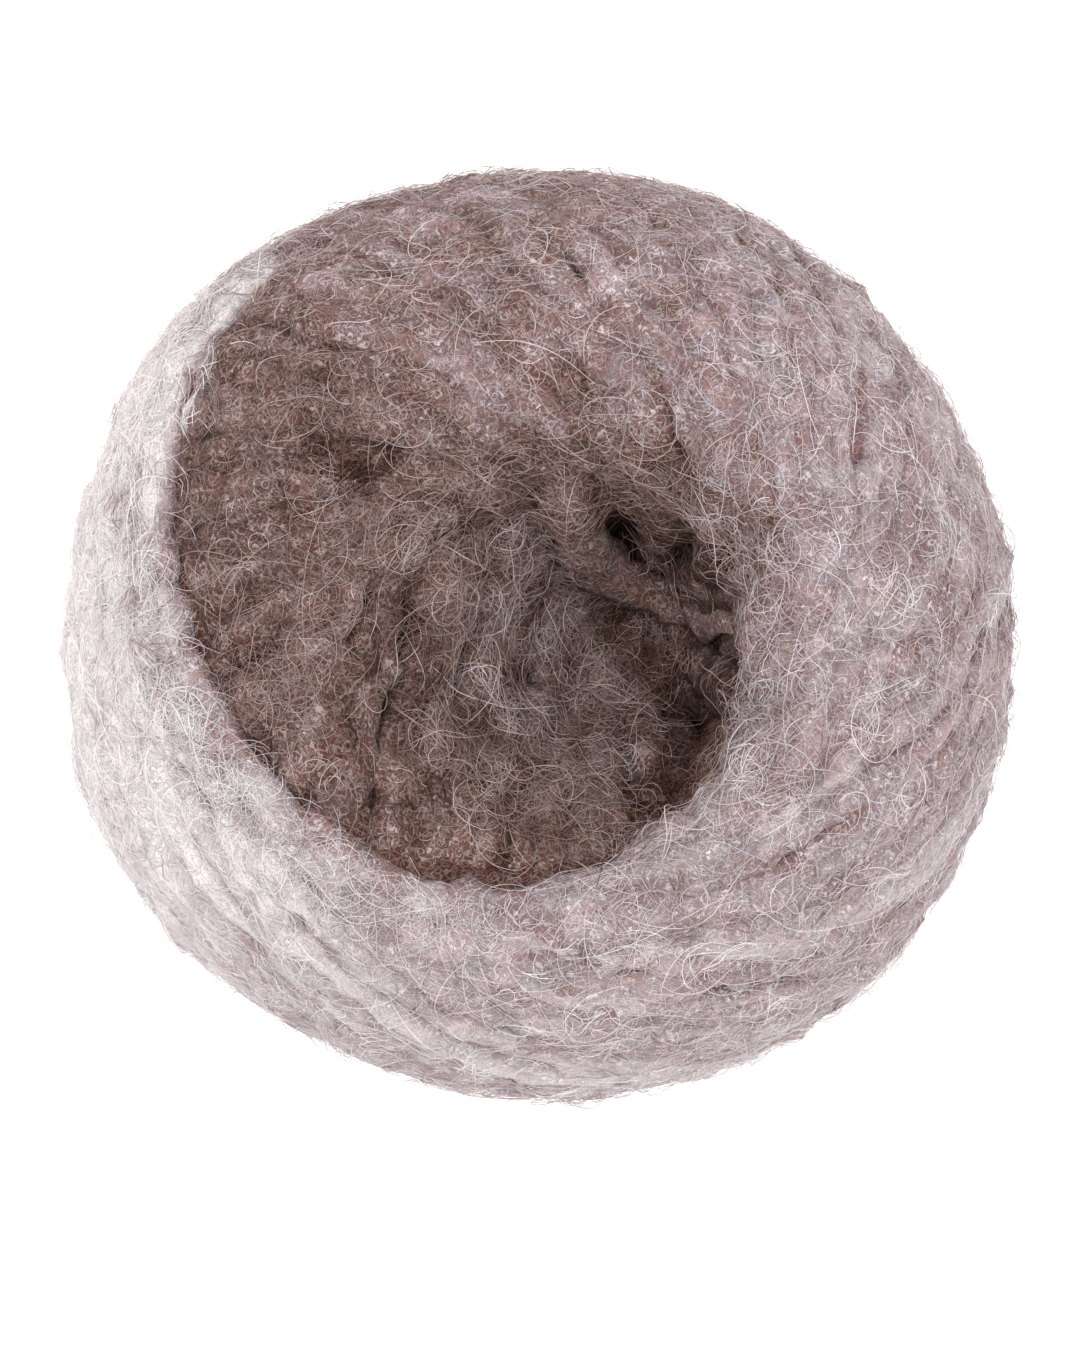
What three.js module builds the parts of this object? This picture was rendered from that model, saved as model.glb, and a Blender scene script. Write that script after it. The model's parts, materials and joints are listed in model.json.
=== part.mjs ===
// A ball of brushed alpaca yarn, lying on its flat side with the hollow of its winding facing up.
// The winding swirls out of the hollow anticlockwise, seen from above, over the rim, round the side
// and in again below. The last turns lie over the earlier ones, and their inner edge is a step that
// runs in a spiral from the ball's outline into the wall of the hollow.
// +X is to the right and +Y away, seen from above.
import * as THREE from "three";

// Driving dimensions, in millimetres.
const WIDTH = 110;
const DEPTH = 108;
const HEIGHT = 80;
const RIDGE_HEIGHT = 1.5;
const LUMP_HEIGHT = 0.8;

// The ridges are bundles of two turns that lie side by side. Each has this many mesh columns.
const BUNDLES = 30;
const COLUMNS_A_BUNDLE = 4;
const COLUMNS = BUNDLES * COLUMNS_A_BUNDLE;

// The mesh rows of a ridge line, those of them inside the step, and the rows over which the wall of
// the hollow sinks to the level behind the step.
const ROWS = 46;
const ROWS_INSIDE = 16;
const SINKING_ROWS = ROWS_INSIDE / 3;

// How unevenly the ridges rise: their mean share of the full height, the swing about it, the turn of
// its wave from one bundle to the next, and the millimetres of height that the wave takes.
const UNEVEN = { mean: 0.75, swing: 0.25, nextBundle: 2.4, wave: 11 };

// The broad lumps are the product of two waves round the ball that climb it in opposite ways. climb
// is in millimetres of height.
const LUMP_WAVE = { count: 3, climb: 14, shift: 0 };
const CROSS_WAVE = { count: 2, climb: -19, shift: 1 };

// The ball's rings, from the floor of the hollow over the rim and down to the flat spot. radius, east
// and north are shares of half the width, and height is a share of the height. swirl is how far the
// winding has run round, in degrees, and relief is the share of the full ridges and lumps.
const RINGS = [
  { radius: 0.07, height: 0.6, east: 0.23, north: -0.02, swirl: -170, relief: 0.0 },
  { radius: 0.14, height: 0.62, east: 0.22, north: -0.02, swirl: -150, relief: 0.2 },
  { radius: 0.18, height: 0.7, east: 0.21, north: -0.02, swirl: -122, relief: 0.3 },
  { radius: 0.26, height: 0.85, east: 0.15, north: -0.03, swirl: -73, relief: 0.5 },
  { radius: 0.39, height: 0.95, east: 0.07, north: -0.02, swirl: -24, relief: 0.75 },
  { radius: 0.53, height: 1.0, east: 0.02, north: 0.0, swirl: 14, relief: 1.0 },
  { radius: 0.73, height: 0.94, east: 0.0, north: 0.0, swirl: 50, relief: 1.0 },
  { radius: 0.88, height: 0.81, east: 0.0, north: 0.0, swirl: 69, relief: 1.0 },
  { radius: 0.97, height: 0.65, east: 0.0, north: 0.0, swirl: 80, relief: 1.0 },
  { radius: 1.0, height: 0.49, east: 0.0, north: 0.0, swirl: 90, relief: 1.0 },
  { radius: 0.97, height: 0.33, east: 0.0, north: 0.0, swirl: 100, relief: 1.0 },
  { radius: 0.88, height: 0.17, east: 0.0, north: 0.0, swirl: 112, relief: 1.0 },
  { radius: 0.73, height: 0.055, east: 0.0, north: 0.0, swirl: 130, relief: 0.8 },
  { radius: 0.54, height: 0.008, east: 0.0, north: 0.0, swirl: 158, relief: 0.3 },
  { radius: 0.4, height: 0.0, east: 0.0, north: 0.0, swirl: 176, relief: 0.0 },
];

// The step at the inner edge of the last turns. turn is where round the ball a ridge line sets out,
// in degrees, radius is how far out the step crosses it and drop is the fall towards the hollow, in
// millimetres. The last row is the first again, one turn on.
const STEP_WIDTH = 2.2;
const STEP = [
  { turn: 72, radius: 0.9, drop: 0.0 },
  { turn: 102, radius: 0.81, drop: 1.2 },
  { turn: 123, radius: 0.76, drop: 2.8 },
  { turn: 162, radius: 0.68, drop: 4.4 },
  { turn: 192, radius: 0.608, drop: 6.0 },
  { turn: 222, radius: 0.566, drop: 7.5 },
  { turn: 259, radius: 0.506, drop: 8.5 },
  { turn: 290, radius: 0.455, drop: 8.0 },
  { turn: 342, radius: 0.361, drop: 5.0 },
  { turn: 390, radius: 0.6, drop: 0.0 },
  { turn: 432, radius: 0.9, drop: 0.0 },
];

// The slow waves of the ball's outline: how many go round it, their height in millimetres and the
// bearing of the first crest in degrees.
const LOBES = [
  { count: 2, height: 0.7, bearing: -13 },
  { count: 3, height: 0.4, bearing: -49 },
  { count: 4, height: 0.35, bearing: 42 },
  { count: 6, height: 0.35, bearing: 19 },
];

// The waves of the outline fade in from this share of half the width.
const LOBES_FROM = 0.6;

// The step is looked for up to this share of the way along the section, to this exactness.
const CROWN_END = 0.62;
const SHARE_EXACTNESS = 1e-4;

const WOOL_COLOUR = 0x9c8580;

const HALF_WIDTH = WIDTH / 2;
const rad = THREE.MathUtils.degToRad;
const smoothstep = THREE.MathUtils.smoothstep;
const curveOf = (x, y) => new THREE.SplineCurve(RINGS.map((ring) => new THREE.Vector2(x(ring), y(ring))));
const section = curveOf((ring) => ring.radius * HALF_WIDTH, (ring) => ring.height * HEIGHT);
const middle = curveOf((ring) => ring.east * HALF_WIDTH, (ring) => ring.north * HALF_WIDTH);
const winding = curveOf((ring) => rad(ring.swirl), (ring) => ring.relief);

// A share of the way along the section where the hollow's wall or the crown has a given radius.
function shareAtRadius(radius) {
  let low = 0;
  let high = CROWN_END;
  while (high - low > SHARE_EXACTNESS) {
    const share = (low + high) / 2;
    if (section.getPointAt(share).x < radius) low = share;
    else high = share;
  }
  return low;
}

// The step where a ridge line crosses it, by the place round the ball where the line sets out.
const STEP_CURVE = STEP.map((row) => ({ ...row, share: shareAtRadius(row.radius * HALF_WIDTH) }));
function stepAt(turn) {
  const first = STEP_CURVE[0].turn;
  const wrapped = first + THREE.MathUtils.euclideanModulo(turn - first, 360);
  const next = STEP_CURVE.findIndex((row) => row.turn > wrapped);
  const [a, b] = [STEP_CURVE[next - 1], STEP_CURVE[next]];
  const way = (wrapped - a.turn) / (b.turn - a.turn);
  return {
    share: THREE.MathUtils.lerp(a.share, b.share, way),
    drop: THREE.MathUtils.lerp(a.drop, b.drop, way),
  };
}

// The share of the way along the section of each row of a ridge line. Two rows lie at the step.
function shareOfRow(row, stepShare) {
  const half = STEP_WIDTH / 2 / section.getLength();
  if (row <= ROWS_INSIDE) return (row / ROWS_INSIDE) * (stepShare - half);
  const outside = (row - ROWS_INSIDE - 1) / (ROWS - ROWS_INSIDE - 1);
  return THREE.MathUtils.lerp(stepShare + half, 1, outside);
}

// The ridges' height over the plain ring.
function ridgeAt(column, height) {
  const bundle = Math.floor(column / COLUMNS_A_BUNDLE);
  const phase = (column % COLUMNS_A_BUNDLE) / COLUMNS_A_BUNDLE;
  const uneven = UNEVEN.mean + UNEVEN.swing * Math.sin(UNEVEN.nextBundle * bundle + height / UNEVEN.wave);
  return (RIDGE_HEIGHT / 2) * uneven * Math.cos(2 * Math.PI * phase);
}

// The broad lumps' height over the plain ring.
function lumpAt(angle, height) {
  const phaseOf = (wave) => wave.count * angle + height / wave.climb + wave.shift;
  return LUMP_HEIGHT * Math.sin(phaseOf(LUMP_WAVE)) * Math.cos(phaseOf(CROSS_WAVE));
}

// The waves of the outline at a bearing.
function lobesAt(angle) {
  const heightOf = (lobe) => lobe.height * Math.cos(lobe.count * (angle - rad(lobe.bearing)));
  return LOBES.reduce((sum, lobe) => sum + heightOf(lobe), 0);
}

// The point of the ball's surface on a ridge line, at a share of the way from the hollow's floor to
// the flat spot.
function surfacePoint(column, share, sink) {
  const t = section.getUtoTmapping(share);
  const ring = section.getPoint(t);
  const out = section.getTangent(t);
  const centre = middle.getPoint(t);
  const { x: swirl, y: amount } = winding.getPoint(t);
  const angle = (2 * Math.PI * column) / COLUMNS + swirl;
  const raised = ridgeAt(column, ring.y) + lumpAt(angle, ring.y);
  const relief = THREE.MathUtils.clamp(amount, 0, 1) * raised;
  const lobes = smoothstep(ring.x / HALF_WIDTH, LOBES_FROM, 1) * lobesAt(angle);
  const radius = ring.x - out.y * relief + lobes;
  const z = ring.y + out.x * relief - sink;
  const x = centre.x + radius * Math.cos(angle);
  const y = centre.y + radius * Math.sin(angle);
  return new THREE.Vector3(x, y, Math.max(z, 0));
}

// The points of one ridge line, from the hollow's floor to the flat spot.
function ridgeLine(column) {
  const step = stepAt((360 * column) / COLUMNS);
  return Array.from({ length: ROWS + 1 }, (_, row) => {
    const share = shareOfRow(row, step.share);
    const sink = row <= ROWS_INSIDE ? step.drop * smoothstep(row, 0, SINKING_ROWS) : 0;
    return surfacePoint(column, share, sink);
  });
}

// Scales and moves the geometry a little, so that it fills the stated box and stands on z = 0.
function fitToBox(geometry) {
  geometry.computeBoundingBox();
  const box = geometry.boundingBox;
  const size = box.getSize(new THREE.Vector3());
  const centre = box.getCenter(new THREE.Vector3());
  geometry.translate(-centre.x, -centre.y, -box.min.z);
  geometry.scale(WIDTH / size.x, DEPTH / size.y, HEIGHT / size.z);
}

// The whole ball as one closed surface: the ridge lines, with a fan on the hollow's floor and
// another on the flat spot. Each four-sided mesh cell is split across its shorter way.
function woundBall() {
  const lines = Array.from({ length: COLUMNS }, (_, column) => ridgeLine(column));
  const points = lines.flat();
  const meanOf = (row) =>
    lines.reduce((sum, line) => sum.add(line[row]), new THREE.Vector3()).divideScalar(COLUMNS);
  const floor = points.push(meanOf(0)) - 1;
  const foot = points.push(meanOf(ROWS)) - 1;

  const index = [];
  for (let column = 0; column < COLUMNS; column++) {
    const here = column * (ROWS + 1);
    const next = ((column + 1) % COLUMNS) * (ROWS + 1);
    index.push(floor, here, next);
    for (let row = 0; row < ROWS; row++) {
      const [a, b, c, d] = [here + row, here + row + 1, next + row + 1, next + row];
      const shorter = points[a].distanceTo(points[c]) < points[b].distanceTo(points[d]);
      index.push(...(shorter ? [a, b, c, a, c, d] : [a, b, d, b, c, d]));
    }
    index.push(foot, next + ROWS, here + ROWS);
  }
  const geometry = new THREE.BufferGeometry().setFromPoints(points);
  geometry.setIndex(index);
  fitToBox(geometry);
  geometry.computeVertexNormals();
  return geometry;
}

const wool = new THREE.MeshStandardMaterial({ color: WOOL_COLOUR, roughness: 1, metalness: 0 });
const ball = new THREE.Mesh(woundBall(), wool);
ball.name = "yarn_ball";

const part = new THREE.Group();
part.add(ball);
export default part;
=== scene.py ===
"""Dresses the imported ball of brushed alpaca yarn.

The frame gives one solid, yarn_ball: the wound form with its hollow, its main twists and the step of
the last turns. Here the yarn itself is laid over that form, turn by turn, and the fuzz is combed over
the turns. Lengths are in metres, +Z is up and the ball lies on z = 0.
"""

from __future__ import annotations

import json
import logging
import math
from dataclasses import dataclass, field
from enum import Enum

import bpy
import numpy as np
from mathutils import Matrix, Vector
from mathutils.bvhtree import BVHTree
from mathutils.kdtree import KDTree

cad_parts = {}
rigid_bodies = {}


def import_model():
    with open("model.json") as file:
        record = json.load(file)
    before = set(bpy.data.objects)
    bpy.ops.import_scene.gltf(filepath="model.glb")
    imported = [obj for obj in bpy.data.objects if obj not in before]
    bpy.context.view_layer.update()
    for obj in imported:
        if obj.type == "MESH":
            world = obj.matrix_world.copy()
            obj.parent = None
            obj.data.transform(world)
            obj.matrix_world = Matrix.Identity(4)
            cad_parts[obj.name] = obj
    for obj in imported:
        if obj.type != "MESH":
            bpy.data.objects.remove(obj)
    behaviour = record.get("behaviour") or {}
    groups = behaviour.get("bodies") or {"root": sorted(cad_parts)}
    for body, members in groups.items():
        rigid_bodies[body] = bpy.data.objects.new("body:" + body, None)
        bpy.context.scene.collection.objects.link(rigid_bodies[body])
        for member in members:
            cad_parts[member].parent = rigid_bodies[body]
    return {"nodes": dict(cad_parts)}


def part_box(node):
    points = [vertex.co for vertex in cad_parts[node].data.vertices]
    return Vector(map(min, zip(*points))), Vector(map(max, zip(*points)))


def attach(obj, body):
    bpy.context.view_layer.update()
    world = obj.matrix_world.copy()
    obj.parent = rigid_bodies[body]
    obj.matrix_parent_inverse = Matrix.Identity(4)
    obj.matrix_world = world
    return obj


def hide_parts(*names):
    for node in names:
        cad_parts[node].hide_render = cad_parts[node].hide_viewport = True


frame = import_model()

MM = 0.001
Array = np.ndarray
log = logging.getLogger("yarn_ball")


# Helpers


def unit(vectors: Array) -> Array:
    """Scales vectors to length one, along the last axis."""
    return vectors / np.maximum(np.linalg.norm(vectors, axis=-1, keepdims=True), 1e-12)


def smoothstep(low: float, high: float, value: Array) -> Array:
    """Rises smoothly from 0 at low to 1 at high."""
    t = np.clip((value - low) / (high - low), 0.0, 1.0)
    return t * t * (3.0 - 2.0 * t)


def deselect_all() -> None:
    """Leaves nothing selected, since the frame's nodes start selected."""
    for obj in bpy.context.view_layer.objects:
        obj.select_set(False)


def make_active(obj: bpy.types.Object) -> None:
    """Selects one object alone and makes it the active one."""
    deselect_all()
    obj.select_set(True)
    bpy.context.view_layer.objects.active = obj


def apply_modifiers(obj: bpy.types.Object) -> None:
    """Applies every modifier of an object, in order."""
    make_active(obj)
    for modifier in list(obj.modifiers):
        bpy.ops.object.modifier_apply(modifier=modifier.name)


@dataclass
class Ripples:
    """A smooth random field in space, made of waves in many directions.

    Attributes:
        wavelength: mean distance between crests, in metres.
        seed: seed of the random directions and phases.
        waves: number of waves that are summed.
    """

    wavelength: float
    seed: int
    waves: int = 28

    def at(self, points: Array) -> Array:
        """Gives the field at points.

        Args:
            points: places, of shape (..., 3).

        Returns:
            Values of mean 0 and spread about 1, of shape (...).
        """
        rng = np.random.default_rng(self.seed)
        directions = unit(rng.normal(size=(self.waves, 3)))
        lengths = self.wavelength * rng.uniform(0.6, 1.7, self.waves)
        vectors = directions * (2.0 * math.pi / lengths)[:, None]
        phases = rng.uniform(0.0, 2.0 * math.pi, self.waves)
        total = np.zeros(points.shape[:-1])
        for vector, phase in zip(vectors, phases):
            total += np.sin(points @ vector + phase)
        return total * math.sqrt(2.0 / self.waves)


@dataclass
class Tubes:
    """A joined mesh of many closed tubes, gathered as arrays and built in one go.

    Attributes:
        name: name of the piece.
        sides: number of sides of each tube.
        pointed: whether each tube runs out to a point at its ends, as a fibre does.
    """

    name: str
    sides: int
    pointed: bool
    points: list[Array] = field(default_factory=list)
    quads: list[Array] = field(default_factory=list)
    corners: list[Array] = field(default_factory=list)
    quad_uv: list[Array] = field(default_factory=list)
    corner_uv: list[Array] = field(default_factory=list)
    values: dict[str, list[Array]] = field(default_factory=dict)
    count: int = 0

    def add(
        self,
        centre: Array,
        across: Array,
        up: Array,
        cells: Array,
        values: dict[str, Array],
        side_tone: Array | float = 0.0,
    ) -> None:
        """Adds tubes that have the same number of rings.

        Args:
            centre: middle of each ring, of shape (tubes, rings, 3).
            across: half-width vector of each ring, of shape (tubes, rings, 3) or one for each side.
            up: half-height vector of each ring, of the same shape.
            cells: place of each tube in the piece's own map, rows of left, low, width and height.
            values: attributes by name, each of shape (tubes, rings).
            side_tone: what each side adds to the tone, or each ring's sides; the strands pass painted shade at their
                sides here, with the seam's real change of colour.
        """
        tubes, rings = centre.shape[:2]
        sides = self.sides
        angle = 2.0 * math.pi * np.arange(sides) / sides
        if across.ndim == 3:
            across, up = across[:, :, None, :], up[:, :, None, :]
        round_about = np.cos(angle)[:, None] * across + np.sin(angle)[:, None] * up
        ends = np.stack([centre[:, 0], centre[:, -1]], axis=1)
        if self.pointed:
            round_about = round_about[:, 1:-1]
            centre = centre[:, 1:-1]
            rings -= 2
        ring_points = centre[:, :, None, :] + round_about
        size = rings * sides
        flat = np.concatenate([ring_points.reshape(tubes, size, 3), ends], axis=1)
        self.points.append(flat.reshape(-1, 3))

        ring = np.arange(rings - 1)[:, None] * sides
        side = np.arange(sides)[None, :]
        after = (side + 1) % sides
        quad = np.stack([ring + side, ring + after, ring + sides + after, ring + sides + side], axis=-1)
        first, last = np.arange(sides), np.arange(sides) + (rings - 1) * sides
        first_next, last_next = np.roll(first, -1), np.roll(last, -1)
        low = np.stack([first_next, first, np.full(sides, size)], axis=-1)
        high = np.stack([last, last_next, np.full(sides, size + 1)], axis=-1)
        corner = np.concatenate([low, high])
        start = self.count + np.arange(tubes)[:, None, None] * (size + 2)
        self.quads.append((quad.reshape(1, -1, 4) + start).reshape(-1, 4))
        self.corners.append((corner[None] + start).reshape(-1, 3))
        self.count += tubes * (size + 2)

        self.quad_uv.append(self.quad_places(tubes, rings, cells))
        self.corner_uv.append(self.corner_places(tubes, cells))
        for name, value in values.items():
            inner = value[:, 1:-1] if self.pointed else value
            spread = np.repeat(inner, sides, axis=1)
            if name == "tone":
                spread = spread + np.broadcast_to(side_tone, (rings, sides)).reshape(-1)
            whole = np.concatenate([spread, value[:, :1], value[:, -1:]], axis=1)
            self.values.setdefault(name, []).append(whole.reshape(-1))

    def quad_places(self, tubes: int, rings: int, cells: Array) -> Array:
        """Lays the tubes' sides in their cells of the map, the length upright."""
        u = np.arange(self.sides + 1) / self.sides
        v = 0.02 + 0.96 * np.arange(rings) / (rings - 1)
        low_u, high_u = np.meshgrid(u[:-1], v[:-1])[0], np.meshgrid(u[1:], v[:-1])[0]
        low_v, high_v = np.meshgrid(u[:-1], v[:-1])[1], np.meshgrid(u[:-1], v[1:])[1]
        square = np.stack(
            [
                np.stack([low_u, low_v], -1),
                np.stack([high_u, low_v], -1),
                np.stack([high_u, high_v], -1),
                np.stack([low_u, high_v], -1),
            ],
            axis=2,
        ).reshape(1, -1, 4, 2)
        return (square * cells[:, None, None, 2:] + cells[:, None, None, :2]).reshape(-1, 4, 2)

    def corner_places(self, tubes: int, cells: Array) -> Array:
        """Lays the tubes' ends in thin strips below and above their sides."""
        u = np.arange(self.sides) / self.sides
        step = 1.0 / self.sides
        low = np.stack([np.stack([u + step, u * 0 + 0.02], -1), np.stack([u, u * 0 + 0.02], -1),
                        np.stack([u + step / 2, u * 0], -1)], axis=1)
        high = np.stack([np.stack([u, u * 0 + 0.98], -1), np.stack([u + step, u * 0 + 0.98], -1),
                         np.stack([u + step / 2, u * 0 + 1.0], -1)], axis=1)
        strip = np.concatenate([low, high])[None]
        return (strip * cells[:, None, None, 2:] + cells[:, None, None, :2]).reshape(-1, 3, 2)

    def triangles(self) -> int:
        """Counts the triangles of the mesh as built."""
        return 2 * sum(len(q) for q in self.quads) + sum(len(c) for c in self.corners)

    def build(self, material: bpy.types.Material) -> bpy.types.Object:
        """Makes the object.

        Args:
            material: the piece's finish.

        Returns:
            The new object, smooth-shaded, with its attributes and its own map.
        """
        points = np.concatenate(self.points)
        quads = np.concatenate(self.quads)
        corners = np.concatenate(self.corners)
        mesh = bpy.data.meshes.new(self.name)
        mesh.vertices.add(len(points))
        mesh.vertices.foreach_set("co", points.astype(np.float32).ravel())
        loops = np.concatenate([quads.ravel(), corners.ravel()])
        mesh.loops.add(len(loops))
        mesh.loops.foreach_set("vertex_index", loops.astype(np.int32))
        starts = np.concatenate(
            [4 * np.arange(len(quads)), quads.size + 3 * np.arange(len(corners))]
        )
        mesh.polygons.add(len(starts))
        mesh.polygons.foreach_set("loop_start", starts.astype(np.int32))
        mesh.update(calc_edges=True)
        mesh.polygons.foreach_set("use_smooth", np.ones(len(starts), bool))
        places = np.concatenate(
            [np.concatenate(self.quad_uv).reshape(-1, 2), np.concatenate(self.corner_uv).reshape(-1, 2)]
        )
        uv = mesh.uv_layers.new(name="OFBake")
        uv.data.foreach_set("uv", places.astype(np.float32).ravel())
        for name, parts in self.values.items():
            attribute = mesh.attributes.new(name, "FLOAT", "POINT")
            attribute.data.foreach_set("value", np.concatenate(parts).astype(np.float32))
        mesh.materials.append(material)
        obj = bpy.data.objects.new(self.name, mesh)
        bpy.context.scene.collection.objects.link(obj)
        return obj


# The ball's form


@dataclass
class BallForm:
    """The wound form that the frame's solid gives, as a smooth surface to lay the yarn on.

    Attributes:
        node: name of the frame's solid.
        roundness: exponent of the even body that the turns are first drawn on, 2 for an ellipse.
        smoothing: passes that take the solid's ridges down before the yarn is laid.
        slope_smoothing: passes that turn the left part of the step into a soft slope.
        hollow_middle: middle of the hollow, seen from above.
        hollow_radius: how far the turns keep from the hollow's middle.
        hollow_reach: how far from its middle the hollow bends the turns aside.
    """

    node: str = "yarn_ball"
    roundness: float = 2.3
    smoothing: int = 12
    slope_smoothing: int = 36
    hollow_middle: tuple[float, float] = (11.4 * MM, -0.8 * MM)
    hollow_radius: float = 2.5 * MM
    hollow_reach: float = 27.0 * MM

    def __post_init__(self) -> None:
        """Reads the solid's box and makes the surface to lay the yarn on."""
        low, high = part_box(self.node)
        self.half_width = (high.x - low.x) / 2
        self.half_height = (high.z - low.z) / 2
        self.middle = np.array([(low.x + high.x) / 2, (low.y + high.y) / 2, (low.z + high.z) / 2])
        smooth = self.copy_of_solid("form_to_lay_on")
        self.soften(smooth)
        apply_modifiers(smooth)
        mesh = smooth.data
        self.tree = BVHTree.FromPolygons(
            [v.co.copy() for v in mesh.vertices], [tuple(p.vertices) for p in mesh.polygons]
        )
        bpy.data.objects.remove(smooth)

    SLOPE = (150.0, 175.0, 215.0, 245.0)

    def soften(self, obj: bpy.types.Object) -> None:
        """Adds modifiers that take down a copy's ridges and turn the left part of its step into a slope."""
        for name, passes, group in (
            ("soften", self.smoothing, ""),
            ("soften_slope", self.slope_smoothing, self.mark_slope(obj)),
        ):
            modifier = obj.modifiers.new(name, "SMOOTH")
            modifier.iterations = passes
            modifier.vertex_group = group

    def mark_slope(self, obj: bpy.types.Object) -> str:
        """Marks where the step of the last turns is only a soft slope, and gives the group's name."""
        group = obj.vertex_groups.new(name="slope")
        for vertex in obj.data.vertices:
            offset = np.array(vertex.co) - self.middle
            radius = math.hypot(offset[0], offset[1]) / self.half_width
            bearing = math.degrees(math.atan2(offset[1], offset[0])) % 360.0
            begin, full, fall, end = self.SLOPE
            weight = smoothstep(begin, full, bearing) * (1.0 - smoothstep(fall, end, bearing))
            weight *= smoothstep(0.42, 0.58, radius) * (1.0 - smoothstep(0.84, 0.95, radius))
            if offset[2] > 0 and weight > 0:
                group.add([vertex.index], float(weight), "REPLACE")
        return group.name

    def copy_of_solid(self, name: str) -> bpy.types.Object:
        """Copies the solid to an object of its own, with its loose triangles merged."""
        obj = bpy.data.objects.new(name, frame["nodes"][self.node].data.copy())
        bpy.context.scene.collection.objects.link(obj)
        make_active(obj)
        bpy.ops.object.mode_set(mode="EDIT")
        bpy.ops.mesh.select_all(action="SELECT")
        bpy.ops.mesh.remove_doubles(threshold=0.01 * MM)
        bpy.ops.object.mode_set(mode="OBJECT")
        obj.data.materials.clear()
        return obj

    def even_body(self, directions: Array) -> tuple[Array, Array]:
        """Puts directions of a sphere on the even body, and bends them round the hollow.

        Args:
            directions: unit vectors, of shape (n, 3).

        Returns:
            Points on the even body and its normals there.
        """
        n = self.roundness
        radius = np.clip(np.hypot(directions[:, 0], directions[:, 1]), 0.0, 0.9999)
        rise = (1.0 - radius**n) ** (1.0 / n)
        side = np.where(directions[:, 2] < 0, -1.0, 1.0)
        flat = directions[:, :2] * self.half_width
        upper = smoothstep(0.0, 0.8, rise * side)[:, None]
        away = flat - np.array(self.hollow_middle)
        distance = np.maximum(np.linalg.norm(away, axis=1, keepdims=True), 1e-5)
        near = np.clip(1.0 - distance / self.hollow_reach, 0.0, 1.0)
        flat = flat + away / distance * self.hollow_radius * near * upper
        points = np.column_stack([flat, side * rise * self.half_height]) + self.middle
        outward = directions[:, :2] / np.maximum(radius, 1e-6)[:, None]
        normals = np.column_stack(
            [
                outward * (radius ** (n - 1) / self.half_width)[:, None],
                side * rise ** (n - 1) / self.half_height,
            ]
        )
        return points, unit(normals)

    PITS = (
        # east, north, reach, depth, in millimetres
        (8.2, 10.4, 2.6, 6.5),
        (5.2, 8.6, 2.0, 2.5),
        (16.8, -8.4, 3.0, 6.0),
        (13.2, -16.2, 4.2, 4.0),
        (19.0, -1.0, 3.2, 3.0),
    )

    def pit_depth(self, points: Array) -> Array:
        """Gives how deep the gaps between the inner turns go at points on the upper side."""
        depth = np.zeros(points.shape[:-1])
        for east, north, reach, deep in self.PITS:
            away = np.hypot(points[..., 0] - east * MM, points[..., 1] - north * MM)
            depth += deep * MM * (1.0 - smoothstep(0.3, 1.3, away / (reach * MM)))
        return np.where(points[..., 2] > self.middle[2], depth, 0.0)

    def lay_on(self, points: Array, normals: Array) -> tuple[Array, Array]:
        """Drops points onto the form along the normals.

        Args:
            points: places near the form, of shape (n, 3).
            normals: directions away from the form, of shape (n, 3).

        Returns:
            Points on the form and the form's own normals there.
        """
        start = self.half_width
        laid = np.empty_like(points)
        facing = np.empty_like(points)
        for i, (point, normal) in enumerate(zip(points, normals)):
            origin = Vector(point + start * normal)
            place, face_normal, _, _ = self.tree.ray_cast(origin, Vector(-normal))
            if place is None:
                place, face_normal, _, _ = self.tree.find_nearest(Vector(point))
            laid[i] = place
            facing[i] = face_normal
        return laid, facing


# The winding


@dataclass
class Turn:
    """One turn of yarn round the ball, as closed arrays of equal length.

    Attributes:
        laid: its line on the form.
        facing: the form's normals along it.
        tone: the yarn's colour along it, 0 for dark brown to 1 for cream.
        depth: how deep later turns bury it, in metres.
    """

    laid: Array
    facing: Array
    tone: Array
    depth: Array

    def direction(self) -> Array:
        """Gives the turn's direction at each of its points."""
        return unit(np.roll(self.laid, -1, axis=0) - np.roll(self.laid, 1, axis=0))


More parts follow.
